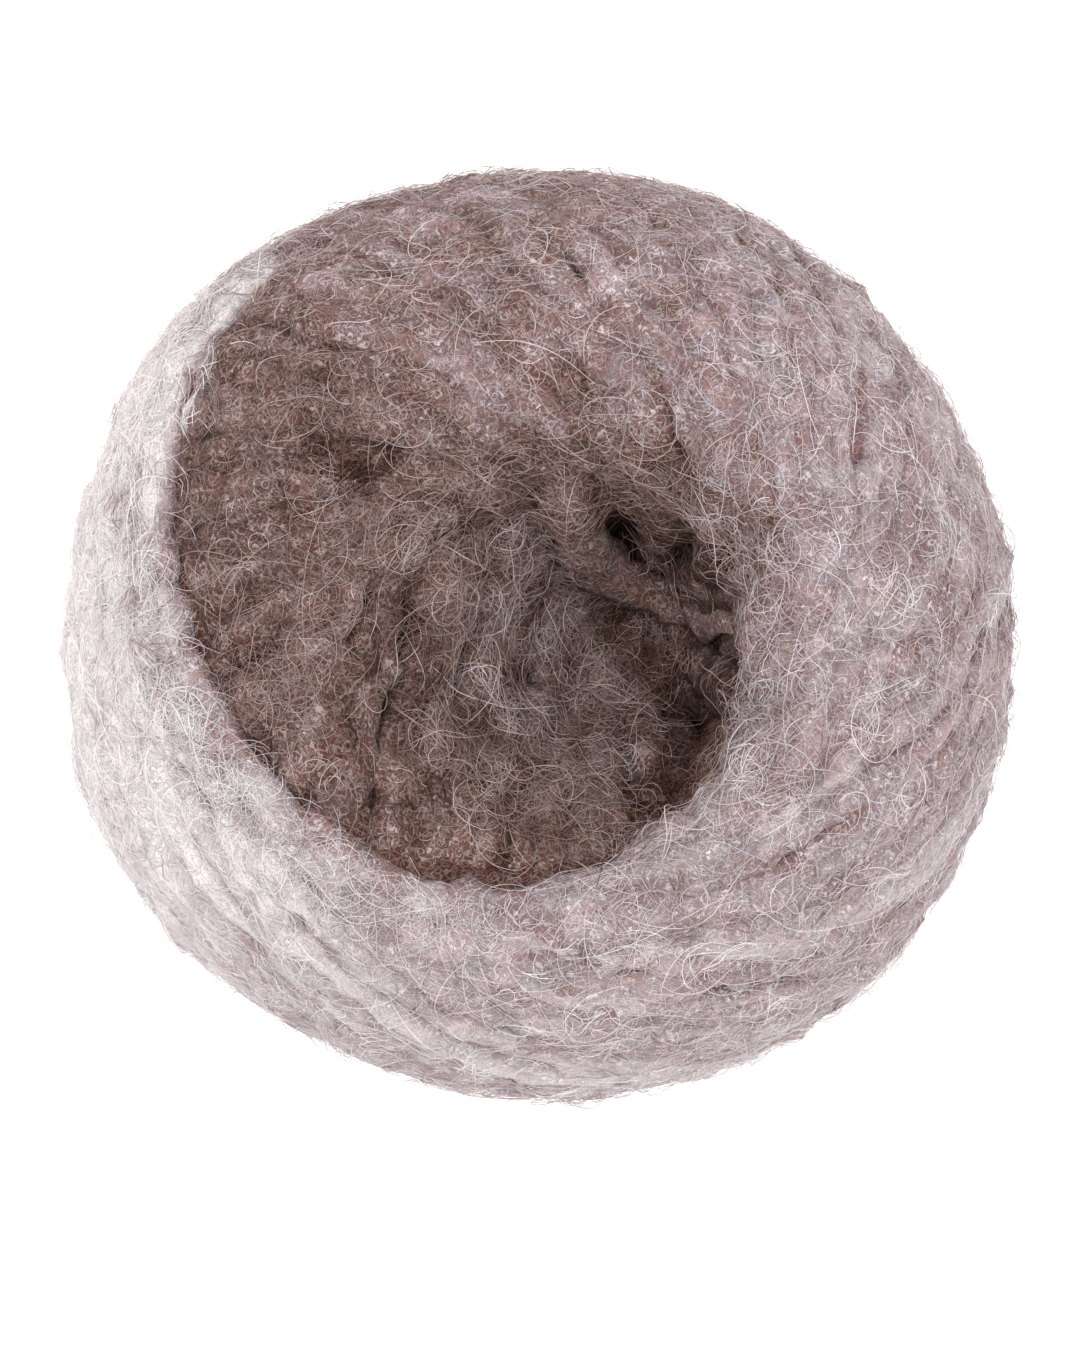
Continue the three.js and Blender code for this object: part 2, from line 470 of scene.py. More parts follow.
@dataclass
class Winding:
    """The order and places of the turns.

    Each turn is a tilted ring about the ball. It comes nearest to the top at a bearing, in degrees
    anticlockwise from +X, and at a radius that is a share of the ball's. The table runs from the last
    turn back to the first ones that show.

    Attributes:
        form: the form that the turns lie on.
        steps: points of each turn's line.
        thickness: how much one turn lifts another that crosses over it.
        width: half-width over which a turn covers what is below it.
        beside: share of the thickness by which a turn lifts one that it runs beside.
        seed: seed of the turns' unevenness.
    """

    form: BallForm
    steps: int = 330
    thickness: float = 1.5 * MM
    width: float = 2.8 * MM
    beside: float = 0.13
    seed: int = 11

    ORDER = (
        # turn, bearing, radius
        (0, 158, 0.99),
        (6, 190, 0.85),
        (9, 205, 0.77),
        (12, 222, 0.67),
        (17, 245, 0.61),
        (21, 267, 0.565),
        (25, 287, 0.525),
        (30, 312, 0.48),
        (35, 338, 0.44),
        (42, 372, 0.41),
        (47, 398, 0.37),
        (52, 423, 0.30),
        (59, 458, 0.29),
        (65, 492, 0.34),
        (69, 515, 0.50),
        (71, 522, 0.82),
        (94, 526, -0.36),
    )

    CHANGE = (44, 58)

    def turns(self) -> list[Turn]:
        """Lays all the turns, last first, and finds how deep each is buried.

        Returns:
            The turns from the last to the first.
        """
        rng = np.random.default_rng(self.seed)
        angle = np.linspace(0.0, 2.0 * math.pi, self.steps, endpoint=False)
        number, bearings, radii = (np.array(column) for column in zip(*self.ORDER))
        result = []
        for turn in range(number[-1] + 1):
            bearing = np.interp(turn, number, bearings) + rng.normal(0.0, 0.9)
            radius = min(np.interp(turn, number, radii) + rng.normal(0.0, 0.010), 0.995)
            line = self.ring(angle, math.radians(bearing), radius, rng)
            laid, facing = self.form.lay_on(*self.form.even_body(line))
            laid = self.evened(laid, 1.6 * MM)
            facing = unit(self.evened(facing, 3.0 * MM))
            margin = np.interp(turn, self.CHANGE, (Colouring.LAST_TURNS, Colouring.FIRST_TURNS))
            tone = Colouring.tone_at(laid, self.form, margin) + rng.normal(0.0, 0.035)
            result.append(Turn(laid, facing, tone, np.zeros(self.steps)))
        self.bury(result)
        return result

    def ring(self, angle: Array, bearing: float, radius: float, rng: np.random.Generator) -> Array:
        """Draws one turn on a sphere, a little unevenly.

        Args:
            angle: angles round the turn.
            bearing: where it comes nearest to the top, in radians.
            radius: how near, as a share of the ball's radius.
            rng: source of the unevenness.

        Returns:
            Unit vectors, of shape (n, 3).
        """
        near = np.array([radius * math.cos(bearing), radius * math.sin(bearing), math.sqrt(1 - radius**2)])
        onward = np.array([-math.sin(bearing), math.cos(bearing), 0.0])
        axis = np.cross(near, onward)
        sway = sum(
            rng.normal(0.0, 0.012 / math.sqrt(k)) * np.sin(k * angle + rng.uniform(0.0, 6.3))
            for k in range(2, 17)
        )
        line = np.cos(angle)[:, None] * near + np.sin(angle)[:, None] * onward + sway[:, None] * axis
        return unit(line)

    def bury(self, turns: list[Turn]) -> None:
        """Finds how deep each turn lies below the later ones.

        A turn that crosses over another lifts the surface by its whole thickness, and one that runs
        beside it by a part of that.
        """
        points = np.concatenate([turn.laid for turn in turns])
        lines = np.concatenate([turn.direction() for turn in turns])
        tree = KDTree(len(points))
        for index, point in enumerate(points):
            tree.insert(point, index)
        tree.balance()
        for rank, turn in enumerate(turns):
            for step, point in enumerate(turn.laid):
                nearest: dict[int, tuple[float, int]] = {}
                for _, index, distance in tree.find_range(point, self.width):
                    other = index // self.steps
                    if other < rank and distance < nearest.get(other, (1.0, 0))[0]:
                        nearest[other] = (distance, index)
                if not nearest:
                    continue
                away, found = (np.array(column) for column in zip(*nearest.values()))
                beside = np.abs(lines[found] @ lines[rank * self.steps + step])
                weight = self.beside + (1.0 - self.beside) * smoothstep(0.05, 0.35, 1.0 - beside)
                cover = float(np.sum(weight * np.sqrt(1.0 - (away / self.width) ** 2)))
                turn.depth[step] = cover * self.thickness
            turn.depth[:] = self.evened(turn.depth, 3.5 * MM) + self.form.pit_depth(turn.laid)

    def evened(self, values: Array, reach: float) -> Array:
        """Evens values out along a closed turn, over about the given length."""
        spacing = 2.0 * math.pi * 0.9 * self.form.half_width / self.steps
        frequency = np.fft.rfftfreq(self.steps)
        keep = np.exp(-2.0 * (math.pi * frequency * reach / spacing) ** 2)
        shape = keep if values.ndim == 1 else keep[:, None]
        return np.fft.irfft(np.fft.rfft(values, axis=0) * shape, n=self.steps, axis=0)


class Colouring:
    """Where the yarn's colour runs from dark brown to cream, round the ball.

    The seam is where the last, light turns end over the earlier brown ones. Bearings are in degrees
    anticlockwise from +X, radii are shares of the ball's, and tones run from 0, dark, to 1, cream.
    """

    SEAM = (
        # bearing, radius
        (122, 1.0),
        (143, 0.86),
        (162, 0.815),
        (177, 0.785),
        (205, 0.70),
        (222, 0.60),
        (245, 0.56),
        (270, 0.51),
        (290, 0.48),
        (316, 0.436),
        (341, 0.40),
        (372, 0.386),
        (395, 0.36),
        (423, 0.28),
        (482, 0.20),
    )
    OUTER = (
        # bearing, tone outside the seam
        (122, 1.0),
        (195, 0.98),
        (228, 0.85),
        (250, 0.76),
        (273, 0.745),
        (314, 0.725),
        (345, 0.70),
        (372, 0.68),
        (400, 0.67),
        (425, 0.57),
        (447, 0.46),
        (482, 0.42),
    )
    INNER = (
        # bearing, tone inside the seam
        (122, 0.33),
        (160, 0.245),
        (205, 0.215),
        (300, 0.27),
        (350, 0.20),
        (400, 0.14),
        (440, 0.22),
        (482, 0.31),
    )
    HOLLOW_SHADE = (
        # painted shade in the hollow and its deep gaps between turns: east, north, reach, in millimetres, and how much
        # darker
        (14.0, 2.5, 9.5, 0.13),
        (13.0, -16.0, 4.4, 0.20),
        (17.0, -8.5, 3.8, 0.34),
        (8.2, 10.8, 3.6, 0.40),
    )
    MIDDLE_TONE = 0.34
    LAST_TURNS = -0.07
    # painted light: how much lighter the tone is painted towards the outline seen from above
    OUTLINE_LIGHT = 0.05
    ONSET = 6.0
    ONSET_BELOW = 90.0
    ONSET_WANDER = 14.0
    SEAM_SOFTNESS = (
        # bearing, half the width of the change of colour
        (122, 0.060),
        (190, 0.055),
        (225, 0.040),
        (260, 0.025),
    )
    SEAM_WANDER = 0.010
    SOFT_PART = (
        # bearing, how far the colour changes across the strands too
        (122, 1.0),
        (215, 1.0),
        (250, 0.0),
        (440, 0.0),
        (482, 1.0),
    )
    FIRST_TURNS = 0.08

    @classmethod
    def tone_at(cls, laid: Array, form: BallForm, margin: float) -> Array:
        """Gives the yarn's colour at places on the ball.

        Args:
            laid: places on the form, of shape (n, 3).
            form: the form.
            margin: how far past the seam a turn keeps its own colour, as a share of the ball's
                radius: negative for the last turns and positive for the first.

        Returns:
            Tones from 0, dark brown, to 1, cream.
        """
        offset = laid - form.middle
        radius = np.hypot(offset[:, 0], offset[:, 1]) / form.half_width
        bearing = np.degrees(np.arctan2(offset[:, 1], offset[:, 0]))
        below = np.clip(-offset[:, 2] / form.half_height, 0.0, 1.0)
        start = cls.SEAM[0][0]
        bearing = (bearing - 80.0 * below - start) % 360.0 + start
        seam, outer, inner = (
            np.interp(bearing, *zip(*table)) for table in (cls.SEAM, cls.OUTER, cls.INNER)
        )
        wander = cls.ONSET_WANDER * Ripples(12.0 * MM, 56).at(laid)
        low = np.clip(0.3 - offset[:, 2] / form.half_height, 0.0, 1.0)
        onset = smoothstep(0.0, cls.ONSET + cls.ONSET_BELOW * low, bearing - start + wander * low)
        outer = cls.OUTER[-1][1] + (outer - cls.OUTER[-1][1]) * onset
        inner = cls.MIDDLE_TONE + (inner - cls.MIDDLE_TONE) * smoothstep(0.05, 0.3, radius)
        # painted shade: the tone is darkened in the hollow and at the gaps between its turns, where shade falls
        for east, north, reach, amount in cls.HOLLOW_SHADE:
            away = np.hypot(laid[:, 0] - east * MM, laid[:, 1] - north * MM)
            inner = inner - amount * (1.0 - smoothstep(0.5, 1.3, away / (reach * MM)))
        gradual = inner + (outer - inner) * smoothstep(0.24, 0.62, radius)
        blend = smoothstep(325.0, 372.0, bearing)
        # painted light: the tone rises towards the outline seen from above
        outside = outer * (1 - blend) + gradual * blend + cls.OUTLINE_LIGHT * smoothstep(0.75, 0.95, radius)
        margin = margin * (1.0 - smoothstep(270.0, 330.0, bearing)) * (0.3 + 0.7 * smoothstep(160.0, 225.0, bearing))
        edge = radius - seam - margin + cls.SEAM_WANDER * Ripples(7.0 * MM, 55).at(laid)
        soft = np.interp(bearing, *zip(*cls.SEAM_SOFTNESS))
        inside = smoothstep(-1.0, 1.0, -edge / soft) * (offset[:, 2] > 0)
        return outside + (inner - outside) * inside

    @classmethod
    def seam_at(cls, places: Array, form: BallForm) -> tuple[Array, Array]:
        """Gives how far outside the seam places are, and how soft the change of colour is there.

        Args:
            places: places on the ball, of shape (n, 3).
            form: the form.

        Returns:
            Distances as shares of the ball's radius, and weights from 0 to 1.
        """
        offset = places - form.middle
        start = cls.SEAM[0][0]
        bearing = (np.degrees(np.arctan2(offset[:, 1], offset[:, 0])) - start) % 360.0 + start
        away = np.hypot(offset[:, 0], offset[:, 1]) / form.half_width - np.interp(bearing, *zip(*cls.SEAM))
        return away, np.interp(bearing, *zip(*cls.SOFT_PART)) * (offset[:, 2] > 0)

    @classmethod
    def across_strand(cls, skin: Array, centre: Array, form: BallForm) -> Array:
        """Gives how a strand's tone changes from its middle to its skin, where the seam is soft.

        Args:
            skin: the points of each ring, of shape (rings, sides, 3).
            centre: the middle of each ring, of shape (rings, 3).
            form: the form.

        Returns:
            What to add to the tone, of shape (rings, sides).
        """
        outer = cls.tone_at(skin.reshape(-1, 3), form, 0.0).reshape(skin.shape[:2])
        _, weight = cls.seam_at(centre, form)
        return weight[:, None] * (outer - cls.tone_at(centre, form, 0.0)[:, None])


# Finishes

Stops = tuple[tuple[float, tuple[float, float, float]], ...]


class Slot(Enum):
    """The record's material slots."""

    WOOL = "wool"


def new_group(name: str, inputs: dict[str, tuple[str, object]], outputs: dict[str, str]) -> bpy.types.NodeTree:
    """Starts a shader node group with named sockets.

    Args:
        name: name of the group.
        inputs: socket type and default value by name.
        outputs: socket type by name.

    Returns:
        The group, with its input and output nodes in it.
    """
    group = bpy.data.node_groups.new(name, "ShaderNodeTree")
    for label, (kind, default) in inputs.items():
        socket = group.interface.new_socket(label, in_out="INPUT", socket_type=kind)
        socket.default_value = default
    for label, kind in outputs.items():
        group.interface.new_socket(label, in_out="OUTPUT", socket_type=kind)
    group.nodes.new("NodeGroupInput")
    group.nodes.new("NodeGroupOutput")
    return group


@dataclass(frozen=True)
class YarnShades:
    """The yarn's colours along its length, as linear colours by tone, and its fuzzy surface pattern."""

    stops: Stops = (
        (0.0, (0.017, 0.007, 0.005)),
        (0.15, (0.066, 0.029, 0.022)),
        (0.40, (0.145, 0.076, 0.063)),
        (0.66, (0.255, 0.173, 0.175)),
        (0.82, (0.430, 0.345, 0.358)),
        (1.0, (0.820, 0.755, 0.745)),
    )
    threads: Stops = (
        (0.0, (0.190, 0.095, 0.070)),
        (0.15, (0.430, 0.295, 0.258)),
        (0.40, (0.650, 0.525, 0.500)),
        (0.66, (0.830, 0.745, 0.775)),
        (1.0, (0.950, 0.920, 0.920)),
    )
    reddish: tuple[float, float, float] = (1.20, 0.95, 0.88)
    greyish: tuple[float, float, float] = (0.94, 0.965, 1.03)

    LAYERS = (
        # closeness of the curls, shift, half-width of a fibre
        (420.0, 0.00, 0.050),
        (560.0, 0.31, 0.065),
        (700.0, 0.57, 0.080),
        (860.0, 0.83, 0.095),
    )

    def group(self) -> bpy.types.NodeTree:
        """Builds the shared group: Tone and Pale in, Colour and Height out."""
        group = new_group(
            "yarn_shades",
            {
                "Tone": ("NodeSocketFloat", 0.5),
                "Pale": ("NodeSocketFloat", 0.0),
                "Fibre Amount": ("NodeSocketFloat", 0.5),
                "Mottle": ("NodeSocketFloat", 0.5),
            },
            {"Colour": "NodeSocketColor", "Height": "NodeSocketFloat"},
        )
        links = group.links
        enter, leave = group.nodes["Group Input"], group.nodes["Group Output"]
        place = group.nodes.new("ShaderNodeTexCoord").outputs["Object"]

        own = group.nodes.new("ShaderNodeUVMap")
        own.uv_map = "OFBake"
        tufts_along = self.noise(group, self.scaled(group, own.outputs["UV"], (90.0, 38.0, 0.0)), 1.0, 2.0, 0.6)
        tufts_about = self.noise(group, place, 190.0, 5.0, 0.72)
        patches = self.maths(group, "ADD", self.maths(group, "MULTIPLY", tufts_along, 0.5),
                             self.maths(group, "MULTIPLY", tufts_about, 0.7))
        combed = self.noise(group, self.scaled(group, own.outputs["UV"], (900.0, 190.0, 0.0)), 1.0, 2.0, 0.55)
        contour = self.maths(group, "PINGPONG", combed, 0.055)
        hair = group.nodes.new("ShaderNodeMapRange")
        hair.interpolation_type = "SMOOTHSTEP"
        hair.inputs["From Min"].default_value = 0.011
        hair.inputs["From Max"].default_value = 0.0
        links.new(contour, hair.inputs["Value"])
        combed_hair = self.maths(group, "MULTIPLY", hair.outputs["Result"], 0.8)
        brown = group.nodes.new("ShaderNodeMapRange")
        brown.inputs["From Min"].default_value = 0.92
        brown.inputs["From Max"].default_value = 0.60
        brown.inputs["To Min"].default_value = 0.12
        links.new(enter.outputs["Tone"], brown.inputs["Value"])
        reach = self.maths(group, "MULTIPLY", brown.outputs["Result"], enter.outputs["Mottle"])
        swing = self.maths(group, "MULTIPLY", self.maths(group, "SUBTRACT", patches, 0.6), reach)
        tone = self.maths(group, "ADD", enter.outputs["Tone"], swing)
        base = self.ramp(group, tone, self.stops)
        thread = self.ramp(group, tone, self.threads)

        hue = self.noise(group, place, 230.0, 3.0, 0.6)
        hue_range = group.nodes.new("ShaderNodeMapRange")
        hue_range.inputs["From Min"].default_value = 0.36
        hue_range.inputs["From Max"].default_value = 0.64
        links.new(hue, hue_range.inputs["Value"])
        tint = self.mix(group, "MIX", hue_range.outputs["Result"], self.greyish, self.reddish)
        tinted = self.mix(group, "MULTIPLY", brown.outputs["Result"], base, tint)

        bends = group.nodes.new("ShaderNodeTexNoise")
        bends.inputs["Scale"].default_value = 900.0
        bends.inputs["Detail"].default_value = 1.0
        links.new(place, bends.inputs["Vector"])
        bent = group.nodes.new("ShaderNodeVectorMath")
        bent.operation = "MULTIPLY_ADD"
        bent.inputs[1].default_value = (0.0011, 0.0011, 0.0011)
        links.new(bends.outputs["Color"], bent.inputs[0])
        links.new(place, bent.inputs[2])
        lines = None
        for closeness, shift, thin in self.LAYERS:
            line = self.curls(group, bent.outputs["Vector"], closeness, shift, thin)
            lines = line if lines is None else self.maths(group, "MAXIMUM", lines, line)
        lines = self.maths(group, "MAXIMUM", self.maths(group, "MULTIPLY", lines, 0.85), combed_hair)
        drawn = self.maths(group, "MULTIPLY", lines, enter.outputs["Fibre Amount"])
        pale = self.maths(group, "MAXIMUM", drawn, enter.outputs["Pale"])
        links.new(self.mix(group, "MIX", pale, tinted, thread), leave.inputs["Colour"])

        tufts = self.noise(group, place, 650.0, 5.0, 0.7)
        half = self.maths(group, "MULTIPLY", lines, 0.35)
        links.new(self.maths(group, "ADD", tufts, half), leave.inputs["Height"])
        return group

    @staticmethod
    def ramp(group: bpy.types.NodeTree, factor: bpy.types.NodeSocket, stops: Stops) -> bpy.types.NodeSocket:
        """Adds a Color Ramp with the given stops and gives its colour."""
        node = group.nodes.new("ShaderNodeValToRGB")
        elements = node.color_ramp.elements
        for index, (position, colour) in enumerate(stops):
            element = elements[index] if index < 2 else elements.new(position)
            element.position = position
            element.color = (*colour, 1.0)
        group.links.new(factor, node.inputs["Fac"])
        return node.outputs["Color"]

    @staticmethod
    def maths(group: bpy.types.NodeTree, operation: str, a: object, b: object) -> bpy.types.NodeSocket:
        """Adds a Math node on two sockets or numbers and gives its output."""
        node = group.nodes.new("ShaderNodeMath")
        node.operation = operation
        for index, value in enumerate((a, b)):
            if isinstance(value, bpy.types.NodeSocket):
                group.links.new(value, node.inputs[index])
            else:
                node.inputs[index].default_value = value
        return node.outputs[0]

    @staticmethod
    def mix(group: bpy.types.NodeTree, blend: str, factor: object, a: object, b: object) -> bpy.types.NodeSocket:
        """Adds a colour Mix node on sockets or plain values and gives its output."""
        node = group.nodes.new("ShaderNodeMix")
        node.data_type = "RGBA"
        node.blend_type = blend
        colours = [socket for socket in node.inputs if socket.type == "RGBA"]
        for socket, value in zip((node.inputs[0], *colours), (factor, a, b)):
            if isinstance(value, bpy.types.NodeSocket):
                group.links.new(value, socket)
            else:
                socket.default_value = value if isinstance(value, float) else (*value, 1.0)
        return next(socket for socket in node.outputs if socket.type == "RGBA")

    @staticmethod
    def scaled(
        group: bpy.types.NodeTree, place: bpy.types.NodeSocket, scale: tuple[float, float, float]
    ) -> bpy.types.NodeSocket:
        """Multiplies coordinates by a constant and gives the result."""
        node = group.nodes.new("ShaderNodeVectorMath")
        node.operation = "MULTIPLY"
        node.inputs[1].default_value = scale
        group.links.new(place, node.inputs[0])
        return node.outputs["Vector"]

    @staticmethod
    def noise(
        group: bpy.types.NodeTree, place: bpy.types.NodeSocket, scale: float, detail: float, roughness: float
    ) -> bpy.types.NodeSocket:
        """Adds a Noise Texture at a place and gives its value."""
        node = group.nodes.new("ShaderNodeTexNoise")
        node.inputs["Scale"].default_value = scale
        node.inputs["Detail"].default_value = detail
        node.inputs["Roughness"].default_value = roughness
        group.links.new(place, node.inputs["Vector"])
        return node.outputs["Fac"]

    def curls(
        self, group: bpy.types.NodeTree, place: bpy.types.NodeSocket, closeness: float, shift: float, thin: float
    ) -> bpy.types.NodeSocket:
        """Draws short curls, each a ring about the middle of a random cell and cut off at its edge.

        Args:
            group: the node group to add to.
            place: the coordinates, already a little bent.
            closeness: how many cells lie in a metre.
            shift: sets this layer apart from the others.
            thin: half-width of a curl as a share of a cell.

        Returns:
            A socket that is up to 1 in the middle of a curl and 0 off it.
        """
        moved = group.nodes.new("ShaderNodeMapping")
        moved.inputs["Location"].default_value = (shift, 2.0 * shift, -shift)
        group.links.new(place, moved.inputs["Vector"])
        cells = group.nodes.new("ShaderNodeTexVoronoi")
        cells.inputs["Scale"].default_value = closeness
        group.links.new(moved.outputs["Vector"], cells.inputs["Vector"])
        draws = group.nodes.new("ShaderNodeSeparateColor")
        group.links.new(cells.outputs["Color"], draws.inputs["Color"])
        radius = self.maths(group, "MULTIPLY", draws.outputs["Red"], 0.28)
        off_ring = self.maths(group, "SUBTRACT", cells.outputs["Distance"], radius)
        repeated = self.maths(group, "PINGPONG", off_ring, 0.19)
        ring = group.nodes.new("ShaderNodeMapRange")
        ring.interpolation_type = "SMOOTHSTEP"
        ring.inputs["From Min"].default_value = thin
        ring.inputs["From Max"].default_value = 0.0
        group.links.new(repeated, ring.inputs["Value"])
        strength = self.maths(group, "MULTIPLY_ADD", draws.outputs["Green"], 1.35)
        strength.node.inputs[2].default_value = -0.25
        return self.maths(group, "MULTIPLY", ring.outputs["Result"], strength)


@dataclass(frozen=True)
class WoolFinish:
    """One finish of the yarn, from the shared shades.

    Attributes:
        name: name of the material.
        fibre_amount: how strongly the pale curly fibres are drawn on the surface.
        mottle: how much the tone wanders in small patches.
        bump: height of the surface pattern, in metres.
        sheen: strength of the soft glow at grazing angles.
    """

    name: str
    fibre_amount: float
    mottle: float
    bump: float
    sheen: float

    def build(self, shades: bpy.types.NodeTree) -> bpy.types.Material:
        """Makes the material.

        Args:
            shades: the shared group of the yarn's shades.

        Returns:
            The material.
        """
        material = bpy.data.materials.new(self.name)
        material.use_nodes = True
        nodes, links = material.node_tree.nodes, material.node_tree.links
        shader = nodes["Principled BSDF"]
        shader.inputs["Roughness"].default_value = 1.0
        shader.inputs["Specular IOR Level"].default_value = 0.1
        shader.inputs["Sheen Weight"].default_value = self.sheen
        shader.inputs["Sheen Roughness"].default_value = 0.6
        yarn = nodes.new("ShaderNodeGroup")
        yarn.node_tree = shades
        yarn.inputs["Fibre Amount"].default_value = self.fibre_amount
        yarn.inputs["Mottle"].default_value = self.mottle
        for name in ("Tone", "Pale"):
            attribute = nodes.new("ShaderNodeAttribute")
            attribute.attribute_name = name.lower()
            links.new(attribute.outputs["Fac"], yarn.inputs[name])
        links.new(yarn.outputs["Colour"], shader.inputs["Base Color"])
        if self.bump > 0:
            bump = nodes.new("ShaderNodeBump")
            bump.inputs["Distance"].default_value = self.bump
            links.new(yarn.outputs["Height"], bump.inputs["Height"])
            links.new(bump.outputs["Normal"], shader.inputs["Normal"])
        return material


# Pieces


@dataclass
class Core:
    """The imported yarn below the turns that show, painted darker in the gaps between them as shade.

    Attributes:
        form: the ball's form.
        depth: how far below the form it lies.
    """

    form: BallForm
    depth: float = 2.2 * MM

    def build(self, material: bpy.types.Material) -> bpy.types.Object:
        """Copies the solid, sinks it below the turns and gives it its tone, darkened as painted shade."""
        obj = self.form.copy_of_solid("core")
        self.form.soften(obj)
        sink = obj.modifiers.new("sink", "DISPLACE")
        sink.direction = "NORMAL"
        sink.mid_level = 0.0
        sink.strength = -self.depth
        apply_modifiers(obj)
        mesh = obj.data
        mesh.polygons.foreach_set("use_smooth", np.ones(len(mesh.polygons), bool))
        points = np.empty(3 * len(mesh.vertices))
        mesh.vertices.foreach_get("co", points)
        points = points.reshape(-1, 3)
        points[:, 2] -= self.form.pit_depth(points)
        points += unit(points - self.form.middle) * self.filling(points)[:, None]
        mesh.vertices.foreach_set("co", points.ravel())
        mesh.update()
        tone = Colouring.tone_at(points, self.form, Colouring.FIRST_TURNS)
        # painted shade: the core shows only in the gaps between turns, so its tone is darkened, most where the yarn is
        # brown
        tone = tone * (0.6 + 0.35 * smoothstep(0.5, 0.85, tone))
        attribute = mesh.attributes.new("tone", "FLOAT", "POINT")
        attribute.data.foreach_set("value", tone.astype(np.float32))
        mesh.materials.append(material)
        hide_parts(self.form.node)
        return obj

    FILLED = (
        # east, north, reach and height, in millimetres
        (36.3, 23.8, 4.5, 1.4),
        (-20.3, 20.8, 5.0, 1.0),
    )

    def filling(self, points: Array) -> Array:
        """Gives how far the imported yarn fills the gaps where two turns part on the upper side."""
        height = np.zeros(len(points))
        for east, north, reach, high in self.FILLED:
            away = np.hypot(points[:, 0] - east * MM, points[:, 1] - north * MM)
            height += high * MM * (1.0 - smoothstep(0.5, 1.3, away / (reach * MM)))
        return np.where(points[:, 2] > self.form.middle[2], height, 0.0)


